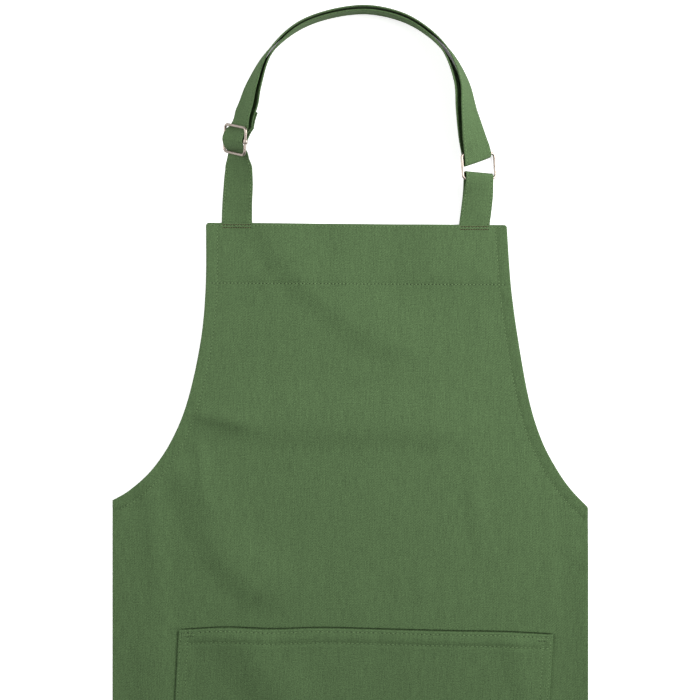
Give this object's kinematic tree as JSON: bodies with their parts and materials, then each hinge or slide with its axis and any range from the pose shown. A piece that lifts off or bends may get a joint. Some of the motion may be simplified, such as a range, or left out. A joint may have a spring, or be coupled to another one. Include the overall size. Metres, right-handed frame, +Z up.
{
  "type": "chef apron",
  "caption": "Bib apron of cotton twill lying face up, with hemmed edges, a wide patch pocket and a neck strap that adjusts on a wire slider and turns round a wire ring.",
  "frame": {"origin": "on the floor under the middle of the whole apron as it lies face up", "axes": "+Y from the bottom hem to the neck loop, +X to the right as seen from above with the neck loop at the top, +Z up out of the face of the cloth"},
  "size_m": [0.475, 1.0144, 0.0367],
  "materials": {
    "twill": "matte",
    "nickel": "polished"
  },
  "bodies": {
    "root": {"body_panel": "twill", "pocket": "twill", "neck_strap": "twill", "ring_tab": "twill", "ring": "nickel", "slider_frame": "nickel", "slider_bar": "nickel"}
  },
  "joints": []
}
